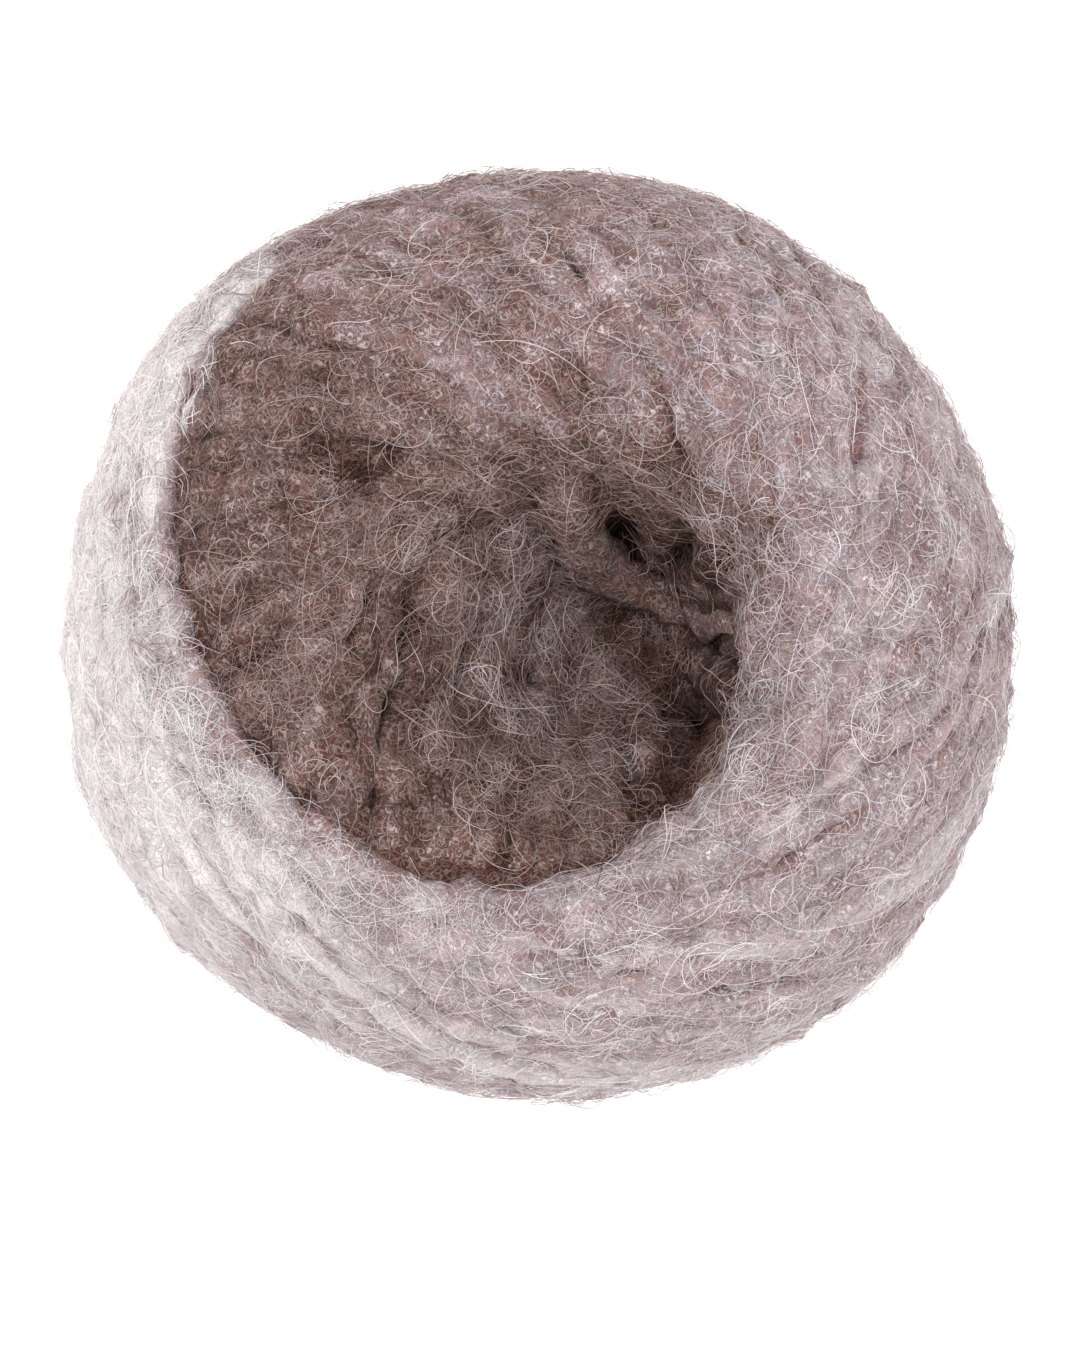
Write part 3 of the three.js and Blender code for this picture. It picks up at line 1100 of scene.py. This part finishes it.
@dataclass
class Strands:
    """The turns of yarn that show, each a soft uneven tube.

    Attributes:
        form: the ball's form.
        radius: half-height of the yarn.
        breadth: its width over its height.
        sides: sides of each tube.
        spacing: length of a tube's segments.
        buried: depth at which a turn is out of sight.
        groove_shade: painted shade, how much darker the yarn is painted at its sides and underside, between the turns,
            than along its top.
    """

    form: BallForm
    radius: float = 1.9 * MM
    breadth: float = 1.5
    sides: int = 8
    spacing: float = 2.4 * MM
    buried: float = 3.0 * MM
    groove_shade: float = 0.19

    INNER_TURNS = (
        # places seen from above as east and north, lift, all in millimetres, and tone
        (((2.0, 18.0), (3.0, 13.6), (4.6, 9.4), (8.4, 6.6), (12.6, 5.2), (17.0, 3.0), (21.5, 1.0)), 2.2, 0.33),
        (((21.0, 10.0), (17.5, 6.0), (16.6, 0.5), (18.6, -4.0), (23.0, -8.0)), 0.6, 0.08),
    )

    def inner_line(self, places: tuple, lift: float, tone: float) -> tuple[Array, Array, Array, float]:
        """Lays a loose turn across the hollow.

        Args:
            places: its route seen from above, east and north in millimetres.
            lift: how high its middle lies over the form, in millimetres.
            tone: its colour.

        Returns:
            Points, normals, tones and its length.
        """
        corners = np.array(places) * MM
        share = np.linspace(0.0, len(corners) - 1.0, 60)
        route = np.column_stack([np.interp(share, np.arange(len(corners)), column) for column in corners.T])
        for _ in range(60):
            route[1:-1] = 0.25 * route[:-2] + 0.5 * route[1:-1] + 0.25 * route[2:]
        above = np.column_stack([route, np.full(len(route), 2.0 * self.form.half_height)])
        laid, facing = self.form.lay_on(above, np.tile((0.0, 0.0, 1.0), (len(route), 1)))
        height = laid[:, 2]
        for _ in range(40):
            height[1:-1] = 0.25 * height[:-2] + 0.5 * height[1:-1] + 0.25 * height[2:]
        ends = np.abs(np.linspace(-1.0, 1.0, len(route))) ** 6
        laid[:, 2] = height + (lift - (lift + 3.0) * ends) * MM
        length = float(np.sum(np.linalg.norm(np.diff(laid, axis=0), axis=1)))
        count = int(length / self.spacing) + 1
        pick = np.linspace(0, len(route) - 1, count).round().astype(int)
        return laid[pick], unit(facing[pick] + (0.0, 0.0, 1.0)), np.full(count, tone), length

    def runs(self, turn: Turn) -> list[Array]:
        """Finds the stretches of a turn that show, as indices along it."""
        seen = turn.depth < self.buried
        count = len(seen)
        margin = 5
        wide = seen.copy()
        for shift in range(-margin, margin + 1):
            wide |= np.roll(seen, shift)
        if wide.all():
            return [np.arange(count + 1) % count]
        if not wide.any():
            return []
        start = int(np.argmin(wide))
        order = (np.arange(count) + start) % count
        breaks = np.flatnonzero(np.diff(wide[order].astype(int)))
        pieces = np.split(order, breaks + 1)
        return [piece for piece in pieces if wide[piece[0]] and len(piece) > 9]

    def build(self, turns: list[Turn], material: bpy.types.Material, name: str) -> bpy.types.Object:
        """Builds the turns as one mesh.

        Args:
            turns: the turns.
            material: their finish.
            name: name of the piece.

        Returns:
            The piece.
        """
        lumps = Ripples(9.0 * MM, 5)
        tufts = Ripples(3.2 * MM, 6, 40)
        tubes = Tubes(name, self.sides, False)
        lines = [self.line(turn, run) for turn in turns for run in self.runs(turn)]
        lines += [self.inner_line(*row) for row in self.INNER_TURNS]
        cells = MapLayout().strips([length for *_, length in lines], 2.0 * math.pi * self.radius)
        for (centre, facing, tone, length), cell in zip(lines, cells):
            along = unit(np.gradient(centre, axis=0))
            across = unit(np.cross(along, facing))
            up = np.cross(across, along)
            taper = smoothstep(0.0, 4.0 * MM, np.minimum(np.linspace(0, length, len(centre)),
                                                         np.linspace(length, 0, len(centre))))
            swell = self.radius * (0.35 + 0.65 * taper) * (1.0 + 0.12 * lumps.at(centre))
            angle = 2.0 * math.pi * np.arange(self.sides) / self.sides
            rim = centre[:, None] + swell[:, None, None] * (
                np.cos(angle)[None, :, None] * across[:, None] + np.sin(angle)[None, :, None] * up[:, None]
            )
            size = swell[:, None] * (1.0 + 0.15 * tufts.at(rim))
            centre[:, 2] = np.maximum(centre[:, 2], size.max(axis=1))
            wide = self.breadth * size[:, :, None] * across[:, None]
            high = size[:, :, None] * up[:, None]
            skin = centre[:, None] + np.cos(angle)[:, None] * wide + np.sin(angle)[:, None] * high
            change = Colouring.across_strand(skin, centre, self.form)
            tubes.add(
                centre[None],
                wide[None],
                high[None],
                cell[None],
                {"tone": tone[None], "pale": np.zeros((1, len(tone)))},
                # painted shade: each turn's sides and underside are darkened and its top a little lightened; the seam's
                # change of colour is added too
                self.groove_shade * (np.sin(angle) - 0.75) + change,
            )
        log.info("%s: %d stretches, %d triangles", name, len(lines), tubes.triangles())
        return tubes.build(material)

    def line(self, turn: Turn, run: Array) -> tuple[Array, Array, Array, float]:
        """Gives the centre line of a stretch, at even spacing.

        Args:
            turn: the turn.
            run: indices along it.

        Returns:
            Points, normals, tones and the stretch's length.
        """
        sink = self.radius * 0.92 + turn.depth[run]
        points = turn.laid[run] - turn.facing[run] * sink[:, None]
        points[:, 2] = np.maximum(points[:, 2], self.radius)
        step = np.linalg.norm(np.diff(points, axis=0), axis=1)
        along = np.concatenate([[0.0], np.cumsum(step)])
        count = max(int(along[-1] / self.spacing), 4) + 1
        even = np.linspace(0.0, along[-1], count)
        resample = lambda values: np.interp(even, along, values)
        centre = np.column_stack([resample(points[:, axis]) for axis in range(3)])
        facing = unit(np.column_stack([resample(turn.facing[run][:, axis]) for axis in range(3)]))
        return centre, facing, resample(turn.tone[run]), float(along[-1])


@dataclass
class MapLayout:
    """Lays strips side by side in a square map."""

    gap: float = 0.0006

    def strips(self, lengths: list[float], width: float) -> Array:
        """Packs upright strips of one width in columns.

        Args:
            lengths: real lengths of the strips.
            width: their real width.

        Returns:
            Rows of left, low, width and height, in the unit square.
        """
        scale = 1.0 / math.sqrt(sum(lengths) * width)
        longest = max(lengths)
        scale = min(scale, 0.98 / longest)
        while True:
            cells = self.try_scale(lengths, width, scale)
            if cells is not None:
                return cells
            scale *= 0.97

    def try_scale(self, lengths: list[float], width: float, scale: float) -> Array | None:
        """Tries one scale, and gives None where the strips don't fit."""
        left, low = self.gap, self.gap
        cells = []
        for length in lengths:
            height = length * scale
            if low + height > 1.0 - self.gap:
                left += width * scale + self.gap
                low = self.gap
            if left + width * scale > 1.0 - self.gap:
                return None
            cells.append((left, low, width * scale, height))
            low += height + self.gap
        return np.array(cells)

    def grid(self, count: int, ratio: float) -> Array:
        """Packs equal cells in a grid.

        Args:
            count: number of cells.
            ratio: height of a cell over its width.

        Returns:
            Rows of left, low, width and height, in the unit square.
        """
        columns = int(math.ceil(math.sqrt(count * ratio)))
        rows = int(math.ceil(count / columns))
        index = np.arange(count)
        left = (index % columns) / columns
        low = (index // columns) / rows
        return np.column_stack(
            [left, low, np.full(count, 0.96 / columns), np.full(count, 0.96 / rows)]
        )


class Lie(Enum):
    """How a fibre lies on the yarn."""

    MATTED = "matted"
    STRAY = "stray"
    HALO = "halo"


@dataclass
class Ground:
    """The yarn's own surface, which the fibres settle on.

    Attributes:
        form: the ball's form.
        pieces: the pieces that the fibres lie on.
        reach: deepest hollow between turns that a fibre goes down into.
    """

    form: BallForm
    pieces: list[bpy.types.Object]
    reach: float = 3.0 * MM

    def __post_init__(self) -> None:
        """Gathers the pieces' faces for looking up."""
        points, faces, start = [], [], 0
        for piece in self.pieces:
            points += [v.co.copy() for v in piece.data.vertices]
            faces += [tuple(start + v for v in p.vertices) for p in piece.data.polygons]
            start += len(piece.data.vertices)
        self.tree = BVHTree.FromPolygons(points, faces)

    def settle(self, points: Array, rise: Array) -> tuple[Array, Array]:
        """Lays fibres on the yarn.

        Args:
            points: the fibres' points near the form, of shape (fibres, points, 3).
            rise: their heights over the yarn, of shape (fibres, points).

        Returns:
            The settled points and the form's normals there.
        """
        flat = points.reshape(-1, 3)
        base, facing, depth = np.empty_like(flat), np.empty_like(flat), np.empty(len(flat))
        for index, point in enumerate(flat):
            place, normal, _, _ = self.form.tree.find_nearest(Vector(point))
            hit, _, _, distance = self.tree.ray_cast(place + normal * self.reach, -normal, 2.5 * self.reach)
            base[index], facing[index] = place, normal
            depth[index] = self.reach if hit is None else min(distance - self.reach, self.reach)
        base, facing = base.reshape(points.shape), facing.reshape(points.shape)
        depth = depth.reshape(rise.shape)
        for _ in range(2):
            padded = np.pad(depth, ((0, 0), (1, 1)), mode="edge")
            depth = 0.25 * padded[:, :-2] + 0.5 * depth + 0.25 * padded[:, 2:]
            padded = np.pad(facing, ((0, 0), (1, 1), (0, 0)), mode="edge")
            facing = unit(padded[:, :-2] + facing + padded[:, 2:])
        return base + facing * (rise - depth)[:, :, None], facing


@dataclass
class Fuzz:
    """One kind of fibre over the turns, as a joined mesh of fine three-sided tubes.

    Attributes:
        name: name of the piece.
        lie: how its fibres lie.
        count: number of fibres.
        segments: segments of each fibre.
        length: shortest and longest fibre.
        radius: half-width of a fibre at its middle.
        lift: smallest and largest height over the yarn.
        curl: spread of the turning, in radians a metre.
        stray: spread of the first direction from the yarn's, in radians.
        pale: smallest and largest paleness against the yarn.
        seed: seed of the draw.
    """

    name: str
    lie: Lie
    count: int
    segments: int
    length: tuple[float, float]
    radius: float
    lift: tuple[float, float]
    curl: float
    stray: float
    pale: tuple[float, float]
    seed: int

    def build(self, roots: Roots, ground: Ground, material: bpy.types.Material) -> bpy.types.Object:
        """Grows the fibres.

        Args:
            roots: where fibres can grow.
            ground: what they settle on.
            material: their finish.

        Returns:
            The piece.
        """
        rng = np.random.default_rng(self.seed)
        place, facing, along, tone = roots.draw(self.count, rng)
        flat, share = self.curls(rng)
        side = np.cross(facing, along)
        centre = place[:, None] + flat[:, :, :1] * along[:, None] + flat[:, :, 1:] * side[:, None]
        high = rng.uniform(*self.lift, (self.count, 1))
        wave = 0.25 * high * np.sin(rng.uniform(4.0, 14.0, (self.count, 1)) * share
                                    + rng.uniform(0.0, 6.3, (self.count, 1)))
        if self.lie is Lie.HALO:
            rise = high * share[None] ** 1.3 + wave * share[None]
        else:
            rise = high * np.sin(math.pi * share)[None] ** 0.7 + wave
        centre, facing = ground.settle(centre, rise)
        centre[:, :, 2] = np.maximum(centre[:, :, 2], self.radius * 1.5)

        direction = unit(np.gradient(centre, axis=1))
        across = unit(np.cross(direction, facing + 0.01 * side[:, None]))
        up = np.cross(across, direction)
        thick = self.radius * (0.35 + 0.65 * np.sin(math.pi * np.clip(share, 0.04, 0.96)) ** 0.5)
        thick = (thick[None] * rng.uniform(0.7, 1.25, (self.count, 1)))[:, :, None]
        tubes = Tubes(self.name, 3, True)
        clumps = 0.10 * Ripples(5.0 * MM, 40).at(place) + 0.04 * Ripples(2.0 * MM, 41).at(place)
        shade = tone + clumps + rng.normal(0.0, 0.05, self.count)
        low, high = self.pale
        pale = low + (high - low) * rng.uniform(0.0, 1.0, self.count) ** 1.5 + 0.8 * clumps
        spread = np.ones((1, self.segments + 1))
        tubes.add(
            centre,
            across * thick,
            up * thick,
            MapLayout().grid(self.count, 3.0),
            {"tone": shade[:, None] * spread, "pale": np.clip(pale, 0.0, 1.0)[:, None] * spread},
        )
        log.info("%s: %d fibres, %d triangles", self.name, self.count, tubes.triangles())
        return tubes.build(material)

    def curls(self, rng: np.random.Generator) -> tuple[Array, Array]:
        """Draws the fibres' curls on a plane, about their own middles.

        Args:
            rng: source of the curls.

        Returns:
            Points along and aside of the yarn, of shape (fibres, points, 2), and each point's share
            of the way along.
        """
        length = rng.uniform(*self.length, (self.count, 1))
        step = length / self.segments
        bend = rng.normal(0.0, self.curl, (self.count, 1))
        wander = np.cumsum(rng.normal(0.0, 0.5 * self.curl, (self.count, self.segments)), axis=1)
        turning = (bend + wander / math.sqrt(self.segments)) * step
        turning = np.clip(turning, -0.95, 0.95)
        first = rng.normal(0.0, self.stray, (self.count, 1)) + math.pi * rng.integers(0, 2, (self.count, 1))
        heading = first + np.cumsum(turning, axis=1)
        moves = np.stack([np.cos(heading), np.sin(heading)], axis=-1) * step[:, :, None]
        points = np.concatenate([np.zeros((self.count, 1, 2)), np.cumsum(moves, axis=1)], axis=1)
        if self.lie is not Lie.HALO:
            points -= points.mean(axis=1, keepdims=True)
        return points, np.linspace(0.0, 1.0, self.segments + 1)


@dataclass
class GuardHairs:
    """A few long, nearly straight hairs that lie over the turns.

    Attributes:
        name: name of the piece.
        radius: half-width of a hair at its middle.
        segments: segments of each hair.
    """

    name: str = "guard_hairs"
    radius: float = 0.04 * MM
    segments: int = 14

    HAIRS = (
        # east and north of both ends, bow to the left, all in millimetres, and tone
        (-29.0, -21.5, -17.5, -34.2, 0.5, 1.0),
        (-33.7, -22.7, -24.3, -40.1, 0.9, 0.40),
        (27.0, 31.5, 30.0, 20.0, -0.6, 0.85),
        (-13.0, -3.0, 3.0, -8.0, -2.4, 0.75),
        (-8.0, 31.0, 7.0, 26.0, 2.0, 0.75),
    )

    def build(self, ground: Ground, material: bpy.types.Material) -> bpy.types.Object:
        """Lays the hairs on the yarn and gives the piece."""
        table = np.array(self.HAIRS)
        start, end = table[:, 0:2] * MM, table[:, 2:4] * MM
        span = end - start
        aside = unit(np.column_stack([-span[:, 1], span[:, 0]]))
        share = np.linspace(0.0, 1.0, self.segments + 1)
        bow = np.sin(math.pi * share)[None, :, None] * table[:, 4, None, None] * MM
        flat = start[:, None] + span[:, None] * share[None, :, None] + aside[:, None] * bow
        top = np.concatenate([flat, np.full((*flat.shape[:2], 1), 2.0 * ground.form.half_height)], axis=2)
        up = np.tile((0.0, 0.0, 1.0), (top.shape[0] * top.shape[1], 1))
        laid, _ = ground.form.lay_on(top.reshape(-1, 3), up)
        rise = np.full(flat.shape[:2], 0.9 * MM)
        centre, facing = ground.settle(laid.reshape(top.shape), rise)
        direction = unit(np.gradient(centre, axis=1))
        across = unit(np.cross(direction, facing))
        thick = self.radius * (0.3 + 0.7 * np.sin(math.pi * share)[None, :, None] ** 0.5)
        spread = np.ones((1, self.segments + 1))
        tubes = Tubes(self.name, 3, True)
        tubes.add(
            centre,
            across * thick,
            np.cross(across, direction) * thick,
            MapLayout().grid(len(table), 3.0),
            {"tone": table[:, 5:6] * spread, "pale": np.ones((len(table), 1)) * spread},
        )
        return tubes.build(material)


@dataclass
class Roots:
    """The places on the turns that fibres grow from.

    Attributes:
        place: points on the yarn's surface.
        facing: directions away from the ball there.
        along: the yarn's direction there.
        tone: the yarn's tone there.
        weight: how likely each is drawn.
    """

    place: Array
    facing: Array
    along: Array
    tone: Array
    weight: Array

    SHOWN_DEPTH = 1.3 * MM

    @classmethod
    def on_turns(cls, turns: list[Turn]) -> Roots:
        """Takes the upper side of every turn where it shows."""
        seen = [turn.depth < cls.SHOWN_DEPTH for turn in turns]
        place = np.concatenate([turn.laid[mask] for turn, mask in zip(turns, seen)])
        facing = np.concatenate([turn.facing[mask] for turn, mask in zip(turns, seen)])
        tone = np.concatenate([turn.tone[mask] for turn, mask in zip(turns, seen)])
        along = np.concatenate([turn.direction()[mask] for turn, mask in zip(turns, seen)])
        along = unit(along - facing * np.sum(along * facing, axis=1, keepdims=True))
        weight = 0.4 + 0.6 * smoothstep(0.01, 0.055, place[:, 2])
        return cls(place, facing, along, tone, weight / weight.sum())

    HOLLOW_MIDDLE = (7.0 * MM, -3.0 * MM)
    HOLLOW_REACH = 23.0 * MM
    HOLLOW_FLOW = (-0.12, -1.0, 0.0)

    @classmethod
    def in_hollow(cls, form: BallForm) -> Roots:
        """Takes even places on the hollow's wall and floor, with the yarn running down the picture."""
        side = np.linspace(-1.0, 1.0, 61)
        east, north = (grid.ravel() for grid in np.meshgrid(side, side))
        within = np.hypot(east, north) < 1.0
        flat = np.column_stack([east[within], north[within]]) * cls.HOLLOW_REACH + cls.HOLLOW_MIDDLE
        above = np.column_stack([flat, np.full(len(flat), 2.0 * form.half_height)])
        place, facing = form.lay_on(above, np.tile((0.0, 0.0, 1.0), (len(flat), 1)))
        flow = np.tile(cls.HOLLOW_FLOW, (len(flat), 1))
        along = unit(flow - facing * np.sum(flow * facing, axis=1, keepdims=True))
        tone = Colouring.tone_at(place, form, 0.0)
        weight = 1.0 - smoothstep(0.7, 1.0, np.hypot(east, north)[within])
        for pit_east, pit_north, reach, _ in form.PITS:
            away = np.hypot(place[:, 0] - pit_east * MM, place[:, 1] - pit_north * MM)
            weight = weight * smoothstep(0.6, 1.4, away / (reach * MM))
        corners = np.array(Strands.INNER_TURNS[0][0]) * MM
        share = np.linspace(0.0, len(corners) - 1.0, 40)
        route = np.column_stack([np.interp(share, np.arange(len(corners)), column) for column in corners.T])
        away = np.linalg.norm(place[:, None, :2] - route[None], axis=2).min(axis=1)
        weight = weight * smoothstep(2.0 * MM, 4.0 * MM, away)
        return cls(place, facing, along, tone, weight / weight.sum())

    SEAM_REACH = 0.04
    SEAM_TONES = (0.88, 0.66)

    @classmethod
    def along_seam(cls, turns: list[Turn], form: BallForm) -> Roots:
        """Takes places beside the soft part of the seam, each with the tone of the other side."""
        roots = cls.on_turns(turns)
        away, weight = Colouring.seam_at(roots.place, form)
        weight = weight * np.exp(-((away / cls.SEAM_REACH) ** 2)) * np.where(away > 0, 0.5, 1.0)
        tone = np.where(away > 0, cls.SEAM_TONES[1], cls.SEAM_TONES[0])
        return cls(roots.place, roots.facing, roots.along, tone, weight / weight.sum())

    def draw(self, count: int, rng: np.random.Generator) -> tuple[Array, Array, Array, Array]:
        """Draws roots, spread aside of the turns' own lines."""
        index = rng.choice(len(self.place), count, p=self.weight)
        side = np.cross(self.facing[index], self.along[index])
        place = self.place[index] + side * rng.uniform(-2.4 * MM, 2.4 * MM, (count, 1))
        place = place + self.along[index] * rng.uniform(-0.5 * MM, 0.5 * MM, (count, 1))
        return place, self.facing[index], self.along[index], self.tone[index]


# The stage


@dataclass
class Studio:
    """The pale floor, soft light and camera.

    Attributes:
        lens: focal length, in millimetres.
        view_height: height of the view at the ball's widest level.
        widest: height of that level over the floor.
        aim: where the middle of the view is, seen from above.
    """

    lens: float = 120.0
    view_height: float = 0.1545
    widest: float = 0.042
    aim: tuple[float, float] = (0.0, -4.4 * MM)

    def build(self) -> None:
        """Makes the camera, the lights and the floor."""
        self.camera()
        self.lights()
        self.floor()

    def camera(self) -> None:
        """Looks straight down on the ball."""
        data = bpy.data.cameras.new("camera")
        data.lens = self.lens
        data.sensor_width = 36.0
        data.clip_start = 0.01
        camera = bpy.data.objects.new("camera", data)
        distance = self.view_height * self.lens / data.sensor_width
        camera.location = (*self.aim, self.widest + distance)
        bpy.context.scene.collection.objects.link(camera)
        bpy.context.scene.camera = camera

    def lights(self) -> None:
        """Lights the ball softly from all round, with a little more from the upper left."""
        world = bpy.data.worlds.new("studio")
        world.use_nodes = True
        world.node_tree.nodes["Background"].inputs["Color"].default_value = (1.0, 1.0, 1.0, 1.0)
        world.node_tree.nodes["Background"].inputs["Strength"].default_value = 1.06
        bpy.context.scene.world = world
        for name, place, size, power in (
            ("key", (-0.2, 0.2, 0.8), 0.6, 2.6),
            ("fill", (0.3, -0.2, 0.7), 0.8, 1.4),
        ):
            data = bpy.data.lights.new(name, "AREA")
            data.size = size
            data.energy = power
            light = bpy.data.objects.new(name, data)
            light.location = place
            light.rotation_euler = (-Vector(place)).to_track_quat("-Z", "Y").to_euler()
            bpy.context.scene.collection.objects.link(light)
        bpy.context.scene.view_settings.view_transform = "Standard"

    def floor(self) -> None:
        """Lays a wide pale floor."""
        deselect_all()
        bpy.ops.mesh.primitive_plane_add(size=30.0)
        floor = bpy.context.object
        floor.name = "floor"
        material = bpy.data.materials.new("floor")
        material.use_nodes = True
        shader = material.node_tree.nodes["Principled BSDF"]
        shader.inputs["Base Color"].default_value = (0.95, 0.95, 0.95, 1.0)
        shader.inputs["Roughness"].default_value = 0.9
        shader.inputs["Emission Color"].default_value = (1.0, 1.0, 1.0, 1.0)
        shader.inputs["Emission Strength"].default_value = 0.3
        floor.data.materials.append(material)


def main() -> None:
    """Builds the ball and its stage, and reports each piece."""
    logging.basicConfig(level=logging.INFO, format="%(message)s")
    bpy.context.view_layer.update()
    Studio().build()
    form = BallForm()
    winding = Winding(form)
    turns = winding.turns()
    log.info("winding: %d turns", len(turns))

    shades = YarnShades().group()
    core_finish = WoolFinish("core_wool", 0.8, 0.8, 0.5 * MM, 0.0).build(shades)
    yarn_finish = WoolFinish("brushed_yarn", 0.95, 1.55, 0.65 * MM, 0.05).build(shades)
    fibre_finish = WoolFinish("loose_fibre", 0.0, 1.1, 0.0, 0.0).build(shades)

    core = Core(form).build(core_finish)
    yarn = Strands(form).build(turns, yarn_finish, "turns")
    pieces = [core, yarn]
    roots = Roots.on_turns(turns)
    ground = Ground(form, [core, yarn])
    short = dict(lie=Lie.MATTED, segments=6, length=(2.8 * MM, 6.0 * MM), stray=0.8, curl=650.0)
    long = dict(lie=Lie.MATTED, segments=9, length=(5 * MM, 12 * MM), stray=0.55, curl=340.0)
    kinds = (
        Fuzz("short_fibres_1", radius=0.055 * MM, lift=(0.0, 0.3 * MM), pale=(0.15, 1.0), seed=21, count=6000, **short),
        Fuzz("short_fibres_2", radius=0.050 * MM, lift=(0.1 * MM, 0.6 * MM), pale=(0.25, 1.0), seed=22, count=3300, **short),
        Fuzz("long_fibres", radius=0.045 * MM, lift=(0.1 * MM, 0.8 * MM), pale=(0.3, 1.0), seed=23, count=3600, **long),
        Fuzz("stray_fibres", Lie.STRAY, 1350, 13, (8 * MM, 16 * MM), 0.04 * MM, (0.3 * MM, 1.3 * MM), 300.0, 1.3, (0.4, 1.0), 24),
        Fuzz("long_hairs", Lie.STRAY, 450, 13, (10 * MM, 26 * MM), 0.033 * MM, (0.4 * MM, 1.6 * MM), 130.0, 0.9, (0.5, 1.0), 26),
        Fuzz("halo_fibres", Lie.HALO, 3200, 5, (3 * MM, 6.5 * MM), 0.030 * MM, (0.6 * MM, 2.4 * MM), 420.0, 1.5, (0.3, 0.9), 25),
    )
    hollow = Roots.in_hollow(form)
    hollow_kinds = (
        Fuzz("hollow_fibres", Lie.MATTED, 2200, 9, (4 * MM, 10 * MM), 0.048 * MM, (0.1 * MM, 0.9 * MM), 480.0, 0.8, (0.25, 0.9), 27),
        Fuzz("hollow_strays", Lie.STRAY, 450, 13, (7 * MM, 15 * MM), 0.042 * MM, (0.4 * MM, 1.8 * MM), 330.0, 1.2, (0.45, 1.0), 28),
    )
    pieces += [kind.build(hollow, ground, fibre_finish) for kind in hollow_kinds]
    pieces += [kind.build(roots, ground, fibre_finish) for kind in kinds]
    seam = Fuzz("seam_fibres", Lie.MATTED, 500, 6, (3.5 * MM, 7.5 * MM), 0.045 * MM, (0.2 * MM, 0.9 * MM), 420.0, 1.2, (0.3, 0.9), 29)
    pieces.append(seam.build(Roots.along_seam(turns, form), ground, fibre_finish))
    pieces.append(GuardHairs().build(ground, fibre_finish))
    for piece in pieces:
        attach(piece, "root")
        log.info("piece %s", piece.name)


if __name__ == "__main__":
    main()
